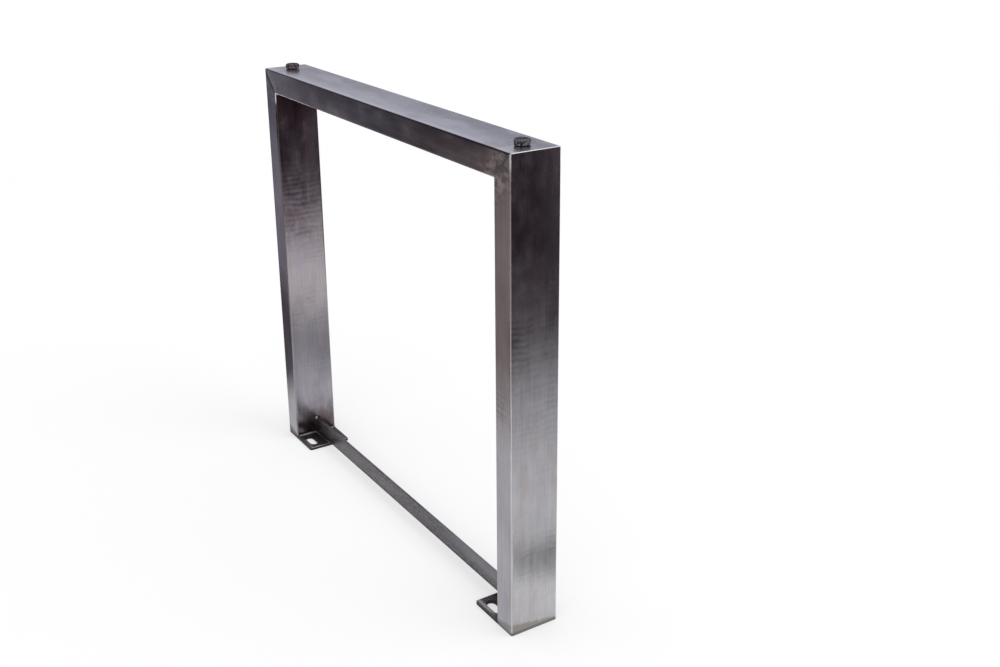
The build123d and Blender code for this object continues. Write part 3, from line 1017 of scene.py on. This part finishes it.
def dress(nodes, material):
    """Gives the named CAD pieces one material."""
    for name in nodes:
        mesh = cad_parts[name].data
        mesh.materials.clear()
        mesh.materials.append(material)


def both(name):
    """The left and the right node of a pair."""
    return [f"{side}_{name}" for side in SIDES]


def new_piece(name, bm, material):
    """Turns a finished bmesh into an object with the given material."""
    bmesh.ops.remove_doubles(bm, verts=bm.verts, dist=WELD_DISTANCE)
    bmesh.ops.recalc_face_normals(bm, faces=bm.faces)
    mesh = bpy.data.meshes.new(name)
    bm.to_mesh(mesh)
    bm.free()
    mesh.shade_smooth()
    mesh.set_sharp_from_angle(angle=SHARP_ANGLE)
    mesh.materials.append(material)
    piece = bpy.data.objects.new(name, mesh)
    bpy.context.collection.objects.link(piece)
    return piece


def skin(bm, rings):
    """Joins equal rings of points into a closed skin with flat ends."""
    made = [[bm.verts.new(point) for point in ring] for ring in rings]
    for below, above in zip(made, made[1:]):
        for i in range(len(below)):
            j = (i + 1) % len(below)
            bm.faces.new((below[i], below[j], above[j], above[i]))
    bm.faces.new(reversed(made[0]))
    bm.faces.new(made[-1])


def bead_rings(start, first, second, run, leg, distance, weld):
    """Sections of one rippled fillet bead along its run."""
    pitch = weld.ripple_pitch
    steps = max(BEAD_LEAST_STEPS, int(distance / pitch * BEAD_STEPS_PER_RIPPLE))
    outward = (first + second) * ROOT_HALF
    rings = []
    for i in range(steps + 1):
        s = distance * i / steps
        root = start + run * s
        end = min(s, distance - s)
        roundness = 1.0 - min(1.0, end / (BEAD_TAPER_REACH * leg))
        taper = max(BEAD_LEAST_SIZE, math.sqrt(1.0 - roundness ** 2))
        size = leg * taper * (1.0 + BEAD_SWAY * noise.noise(root * BEAD_SWAY_RATE))
        ring = [root]
        for k in range(BEAD_ARC_POINTS):
            t = k / (BEAD_ARC_POINTS - 1)
            lag = BEAD_CRESCENT * leg * math.sin(math.pi * t)
            wave = 0.5 + 0.5 * math.cos(2 * math.pi * (s + lag) / pitch)
            bulge = math.sin(math.pi * t) * (weld.crown * size - weld.ripple_depth * wave)
            ring.append(root + first * size * (1 - t) + second * size * t + outward * bulge)
        rings.append(ring)
    return rings


def mirrored(vector, sign):
    """The same place or direction on the given side of the middle."""
    return Vector((sign * vector[0], vector[1], vector[2]))


def add_bead(bm, sign, start, first, second, run, leg, distance, weld):
    """Adds one bead, given for the right-hand side, to the side with the given sign."""
    skin(bm, bead_rings(
        mirrored(start, sign), mirrored(first, sign), mirrored(second, sign),
        mirrored(run, sign), leg, distance, weld,
    ))


def plate_beads(sign, weld):
    """All the beads at one end plate."""
    bm = bmesh.new()
    weld_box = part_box("right_plate_weld")
    half = weld_box[1].y
    leg = weld_box[1].z - BAR_TOP
    reach = INNER_X - weld_box[0].x
    front, back = BAR[0].y, BAR[1].y
    for start, end in ((-half, front), (back, half)):
        add_bead(bm, sign, (INNER_X, start, PLATE_TOP), INWARD, UP, BACKWARD,
                 weld.plate_leg, end - start, weld)
    climb = BAR_TOP - PLATE_TOP + BEAD_CLIMB * leg
    for y, outward in ((front, FORWARD), (back, BACKWARD)):
        corner = (INNER_X, y, PLATE_TOP)
        add_bead(bm, sign, corner, outward, UP, INWARD, leg, reach, weld)
        add_bead(bm, sign, corner, INWARD, outward, UP, leg, climb, weld)
    wrap = back - front + BEAD_WRAP * leg
    start = (front + back - wrap) / 2
    add_bead(bm, sign, (INNER_X, start, BAR_TOP), INWARD, UP, BACKWARD, leg, wrap, weld)
    return bm


def mitre_bead(sign, weld):
    """The bead in the inner corner of one mitre."""
    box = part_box("right_mitre_weld")
    bm = bmesh.new()
    add_bead(bm, sign, (INNER_X, box[0].y, RAIL_UNDER), INWARD, DOWN, BACKWARD,
             box[1].z - box[0].z, box[1].y - box[0].y, weld)
    return bm


def hex_radius(angle, flats):
    """Distance from the axis to a hexagon's side at an angle from its corner."""
    sixth = math.pi / 3
    return flats / 2 / math.cos((angle % sixth) - sixth / 2)


def ring_points(radius_at, height_at, centre, steps):
    """One ring of points round a vertical axis."""
    points = []
    for i in range(steps):
        a = 2 * math.pi * i / steps
        r = radius_at(a)
        points.append(centre + Vector((r * math.cos(a), r * math.sin(a), height_at(a))))
    return points


def bolt_head(centre, sign, bolts):
    """Rings of the hexagonal head above the shank; centre is the middle of its underside."""
    flats, height = bolts.head_across_flats, bolts.head_height
    top_radius = flats / 2 - bolts.washer_face_inset
    slope = math.tan(HEAD_CHAMFER)
    turn = bolts.right_turn if sign > 0 else bolts.left_turn

    def outline(a):
        return hex_radius(a - turn, flats)

    def shoulder(a):
        return height - (outline(a) - top_radius) * slope

    profile = (
        (lambda a: top_radius, lambda a: -bolts.washer_face_height),
        (lambda a: top_radius, lambda a: 0.0),
        (lambda a: outline(a) - HEAD_EDGE_BREAK, lambda a: 0.0),
        (outline, lambda a: HEAD_EDGE_BREAK),
        (outline, shoulder),
        (lambda a: top_radius, lambda a: height),
        (lambda a: HEAD_INNER_RING * top_radius, lambda a: height),
    )
    return [ring_points(radius, rise, centre, bolts.round_steps) for radius, rise in profile]


def bolt_shank(centre, bolts, shank_length):
    """Threaded shank below the head, from its point up to the washer face."""
    pitch = bolts.thread_pitch
    depth = THREAD_DEPTH * pitch
    outer = bolts.thread_diameter / 2
    rows = int(shank_length / pitch * THREAD_ROWS)
    rings = []
    for row in range(rows + 1):
        drop = shank_length * (1 - row / rows)
        limit = outer - max(0.0, bolts.point_chamfer - (shank_length - drop))
        fade = min(1.0, drop / pitch)

        def radius(a):
            phase = (drop / pitch + a / (2 * math.pi)) % 1.0
            groove = min(1.0, max(0.0, GROOVE_WIDTH - abs(phase - 0.5) * FLANK_SLOPE))
            return min(limit, outer - depth * groove * fade)

        rings.append(ring_points(
            radius, lambda a: -bolts.washer_face_height - drop, centre, bolts.round_steps
        ))
    return rings


def threaded_bolt(sign, bolts):
    """A whole levelling bolt on one side."""
    bm = bmesh.new()
    centre = Vector((sign * BOLT_X, 0.0, BOLT[1].z - bolts.head_height))
    shank_length = BOLT[1].z - BOLT[0].z - bolts.head_height - bolts.washer_face_height
    skin(bm, bolt_shank(centre, bolts, shank_length) + bolt_head(centre, sign, bolts))
    return bm


class TABLELEG_OT_brush_tubes(bpy.types.Operator):
    """Brush the uprights and the floor rail along their length"""

    bl_idname = "tableleg.brush_tubes"
    bl_label = "Brush the tubes"

    def execute(self, context):
        look = context.scene.tableleg_brushing
        dress(both("upright"), TubeFinish("brushed_upright", "Z", look).build())
        dress(["floor_rail"], TubeFinish("brushed_rail", "X", look).build())
        return {"FINISHED"}


class TABLELEG_OT_finish_flats(bpy.types.Operator):
    """Finish the end plates and the flat bar"""

    bl_idname = "tableleg.finish_flats"
    bl_label = "Finish plates and flat bar"

    def execute(self, context):
        look = context.scene.tableleg_brushing
        dress(both("end_plate"), plate_finish("ground_plate", look))
        dress(["flat_bar"], bar_finish("mill_flat_bar", look))
        return {"FINISHED"}


class TABLELEG_OT_run_beads(bpy.types.Operator):
    """Run the rippled weld beads at the plates and in the mitres"""

    bl_idname = "tableleg.run_beads"
    bl_label = "Run the weld beads"

    def execute(self, context):
        weld = context.scene.tableleg_welding
        material = bead_finish("weld_bead", weld)
        for side, sign in SIDES.items():
            piece = new_piece(f"{side}_plate_beads", plate_beads(sign, weld), material)
            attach(piece, "frame")
            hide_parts(f"{side}_plate_weld")
            piece = new_piece(f"{side}_mitre_bead", mitre_bead(sign, weld), material)
            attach(piece, "frame")
            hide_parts(f"{side}_mitre_weld")
        return {"FINISHED"}


class TABLELEG_OT_turn_bolts(bpy.types.Operator):
    """Make the blackened levelling bolts with their threads, and finish the nuts"""

    bl_idname = "tableleg.turn_bolts"
    bl_label = "Make the levelling bolts"

    def execute(self, context):
        bolts = context.scene.tableleg_bolting
        black = black_finish("blackened_bolt", bolts)
        for side, sign in SIDES.items():
            piece = new_piece(f"{side}_foot_bolt", threaded_bolt(sign, bolts), black)
            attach(piece, f"{side}_foot")
            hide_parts(f"{side}_levelling_bolt")
        dress(both("weld_nut"), nut_finish("turned_nut", bolts))
        return {"FINISHED"}


def lit_pool(f, studio, radius):
    """Colour of the lit floor round the leg, brightest outside its right-hand upright."""
    heart = f.smooth(f.math("ADD", f.x, f.y), *HEART_SUM)
    heart = f.all_of(heart, f.smooth(radius, *HEART_REACH))
    pool = f.mix(heart, tuple(studio.pool), tuple(studio.pool_heart))
    east, north = f.offsets(SPOT_PLACE)
    spot = f.away(east, f.math("MULTIPLY", north, SPOT_STRETCH))
    pool = f.covered(pool, POOL_SPOT, f.smooth(spot, *SPOT_REACH))
    blotch = f.away(*f.offsets(BLOTCH_PLACE))
    return f.covered(pool, POOL_BLOTCH, f.smooth(blotch, *BLOTCH_REACH))


def dim_floor(f, studio, slant, reach):
    """Colour of the floor past the pool: dark behind, dim in front, with a faint haze."""
    far_floor = tuple(studio.far_floor)
    beyond = f.covered(far_floor, BACKDROP_FLOOR, f.smooth(reach, *BACKDROP_REACH))
    leftward = f.smooth(f.math("MULTIPLY_ADD", f.x, LEFT_SLOPE, f.y), *LEFT_FADE)
    front = f.covered(tuple(studio.front_floor), LEFT_FRONT_FLOOR, leftward)
    past = f.all_of(f.smooth(reach, *PAST_REACH), f.smooth(f.y, *PAST_Y))
    front = f.mix(past, front, beyond)
    hem = f.all_of(f.smooth(slant, *HEM_FADE), f.smooth(f.x, *HEM_X))
    front = f.covered(front, DARK_HEM, hem)
    ahead = f.math("MULTIPLY_ADD", f.x, POOL_SLOPE, f.y)
    dim = f.mix(f.smooth(ahead, *FRONT_FADE), far_floor, front)
    sweep = f.smooth(f.math("MULTIPLY_ADD", f.x, HAZE_SLOPE, f.y), *HAZE_FADE)
    haze = f.all_of(sweep, f.smooth(f.x, *HAZE_X), f.smooth(f.y, *HAZE_Y))
    return f.covered(dim, FLOOR_HAZE, haze)


def light_strip(f):
    """Mask of a strip of light across the floor in front of the right-hand upright."""
    strip = f.all_of(f.smooth(f.x, *STRIP_X), f.smooth(f.y, *STRIP_Y))
    line = f.math("MULTIPLY_ADD", f.x, STRIP_SLOPE, f.math("SUBTRACT", f.y, STRIP_LINE_Y))
    return f.all_of(strip, f.smooth(f.gap(line), *STRIP_WIDTH))


def mirrored_floor(f, studio, reach):
    """The floor as the steel mirrors it: lit near the leg and dark further off."""
    east, north = f.offsets(POOL_MIDDLE)
    east = f.math("MAXIMUM", east, f.math("MULTIPLY", east, POOL_WEST_STRETCH))
    radius = f.away(east, north)
    lit = f.smooth(radius, *(share * studio.pool_radius for share in POOL_FADE))
    slant = f.math("MULTIPLY_ADD", f.x, POOL_SLOPE, f.math("ADD", f.y, POOL_FRONT_Y))
    shaded = f.all_of(f.smooth(f.x, *SHADE_X), f.smooth(f.y, *SHADE_Y))
    lit = f.all_of(lit, f.smooth(slant, *POOL_FRONT_FADE), f.inverse(shaded))
    dim = dim_floor(f, studio, slant, reach)
    strip = light_strip(f)
    dim = f.mix(strip, dim, f.mix(f.smooth(f.y, *STRIP_LIGHT_Y), STRIP_DIM, STRIP_LIGHT))
    lit = f.all_of(lit, f.inverse(strip))
    reflector = f.away(*f.offsets(REFLECTOR_PLACE))
    dim = f.covered(dim, RAIL_REFLECTOR, f.smooth(reflector, *REFLECTOR_REACH))
    return f.mix(lit, dim, lit_pool(f, studio, radius))


def floor_material(studio):
    """Pale matt floor that glows more and more with distance, and a painted light pattern that
    glows only for the steel to mirror.
    """
    f = Finish("pale_floor")
    reach = f.away(f.x, f.y)
    pattern = mirrored_floor(f, studio, reach)
    matt = f.node(
        "ShaderNodeBsdfDiffuse", {"Color": tuple(studio.floor), "Roughness": FLOOR_ROUGHNESS}
    )
    white = f.node("ShaderNodeEmission", {"Color": WHITE, "Strength": 1.0})
    glow = f.node("ShaderNodeEmission", {"Color": pattern, "Strength": 1.0})
    glowing = f.spread(f.smooth(reach, *GLOW_REACH), *GLOW_SHARES)
    pale = f.node("ShaderNodeMixShader", {0: glowing, 1: matt.outputs[0], 2: white.outputs[0]})
    in_steel = f.node("ShaderNodeLightPath").outputs["Is Glossy Ray"]
    shader = f.node("ShaderNodeMixShader", {0: in_steel, 1: pale.outputs[0], 2: glow.outputs[0]})
    out = f.node("ShaderNodeOutputMaterial")
    f.links.new(shader.outputs[0], out.inputs["Surface"])
    f.material.cycles.emission_sampling = "NONE"
    return f.material


def lay_floor(studio):
    """Large flat floor under the leg."""
    half = FLOOR_HALF
    bm = bmesh.new()
    corners = [(-half, -half, 0), (half, -half, 0), (half, half, 0), (-half, half, 0)]
    bm.faces.new([bm.verts.new(c) for c in corners])
    floor = new_piece("pale_floor", bm, floor_material(studio))
    floor.location.z = -FLOOR_DROP


def light_room(scene, studio):
    """White room for the eye, even light on the floor, bright and dark walls for the steel."""
    world = bpy.data.worlds.new("studio_room")
    scene.world = world
    world.use_nodes = True
    desk = NodeDesk(world.node_tree)
    place = desk.node("ShaderNodeTexCoord").outputs["Generated"]
    east, north, up = desk.node("ShaderNodeSeparateXYZ", {"Vector": place}).outputs
    across = desk.math("MULTIPLY", east, WALL_AXIS[0])
    axis = desk.math("MULTIPLY_ADD", north, WALL_AXIS[1], across)
    near_wall, far_wall = desk.smooth(axis, *NEAR_WALL), desk.smooth(axis, *FAR_WALL)
    lit_wall = desk.math("MULTIPLY_ADD", near_wall, NEAR_WALL_LIGHT, far_wall)
    walls = desk.mix(lit_wall, tuple(studio.dark_wall), tuple(studio.bright_wall))
    overhead = desk.smooth(up, *CEILING_HEIGHT)
    mirrored_room = desk.mix(overhead, walls, tuple(studio.ceiling))
    path = desk.node("ShaderNodeLightPath").outputs
    even = dict(enumerate([studio.room_light] * 3))
    level = desk.node("ShaderNodeCombineXYZ", even).outputs[0]
    seen = desk.mix(path["Is Camera Ray"], level, WHITE)
    colour = desk.mix(path["Is Glossy Ray"], seen, mirrored_room)
    shader = desk.node("ShaderNodeBackground", {"Color": colour}).outputs[0]
    desk.links.new(shader, desk.node("ShaderNodeOutputWorld").inputs["Surface"])


def hang_light(name, place, aim, size, power):
    """A square soft light that the camera doesn't see."""
    data = bpy.data.lights.new(name, "AREA")
    data.shape = "RECTANGLE"
    data.size, data.size_y, data.energy = size, size, power
    lamp = bpy.data.objects.new(name, data)
    lamp.location = place
    lamp.rotation_euler = (Vector(aim) - Vector(place)).to_track_quat("-Z", "Y").to_euler()
    lamp.visible_camera = False
    bpy.context.collection.objects.link(lamp)


def place_camera(scene):
    """Camera at the photograph's viewing angle, shifted as little as its framing needs."""
    data = bpy.data.cameras.new("camera")
    data.sensor_width = SENSOR_WIDTH
    data.lens = PHOTO_FOCAL_LENGTH / PHOTO_WIDTH * data.sensor_width
    data.shift_y = CAMERA_SHIFT
    camera = bpy.data.objects.new("camera", data)
    turn = Matrix.Rotation(math.radians(CAMERA_TURN), 4, "Z")
    tip = Matrix.Rotation(math.radians(CAMERA_TIP), 4, "X")
    roll = Matrix.Rotation(math.radians(CAMERA_ROLL), 4, "Z")
    camera.matrix_world = Matrix.Translation(CAMERA_PLACE) @ turn @ tip @ roll
    bpy.context.collection.objects.link(camera)
    scene.camera = camera


class TABLELEG_OT_set_stage(bpy.types.Operator):
    """Lay the floor, hang the light and place the camera"""

    bl_idname = "tableleg.set_stage"
    bl_label = "Set the stage"

    def execute(self, context):
        scene = context.scene
        studio = scene.tableleg_studio
        scene.view_settings.view_transform = "Standard"
        lay_floor(studio)
        light_room(scene, studio)
        hang_light("key_light", KEY_PLACE, KEY_AIM, KEY_SIZE, studio.key_power)
        place_camera(scene)
        return {"FINISHED"}


OPERATORS = (
    TABLELEG_OT_brush_tubes,
    TABLELEG_OT_finish_flats,
    TABLELEG_OT_run_beads,
    TABLELEG_OT_turn_bolts,
    TABLELEG_OT_set_stage,
)
SETTINGS = {
    "tableleg_brushing": TABLELEG_PG_brushing,
    "tableleg_welding": TABLELEG_PG_welding,
    "tableleg_bolting": TABLELEG_PG_bolting,
    "tableleg_studio": TABLELEG_PG_studio,
}


class TABLELEG_PT_panel(bpy.types.Panel):
    """Lists the finishing steps and their settings."""

    bl_label = "Steel table leg"
    bl_idname = "TABLELEG_PT_panel"
    bl_space_type = "VIEW_3D"
    bl_region_type = "UI"
    bl_category = "Table leg"

    def draw(self, context):
        layout = self.layout
        for operator in OPERATORS:
            layout.operator(operator.bl_idname)
        for name, group in SETTINGS.items():
            box = layout.box()
            box.label(text=group.__doc__)
            for key in group.__annotations__:
                box.prop(getattr(context.scene, name), key)


def register():
    """Registers the settings, the operators and the panel."""
    for name, group in SETTINGS.items():
        bpy.utils.register_class(group)
        setattr(bpy.types.Scene, name, PointerProperty(type=group))
    for operator in OPERATORS:
        bpy.utils.register_class(operator)
    bpy.utils.register_class(TABLELEG_PT_panel)


def unregister():
    """Removes what register added."""
    bpy.utils.unregister_class(TABLELEG_PT_panel)
    for operator in reversed(OPERATORS):
        bpy.utils.unregister_class(operator)
    for name, group in SETTINGS.items():
        delattr(bpy.types.Scene, name)
        bpy.utils.unregister_class(group)


def main():
    """Runs every step in order."""
    register()
    bpy.ops.tableleg.set_stage()
    bpy.ops.tableleg.brush_tubes()
    bpy.ops.tableleg.finish_flats()
    bpy.ops.tableleg.run_beads()
    bpy.ops.tableleg.turn_bolts()


if __name__ == "__main__":
    main()
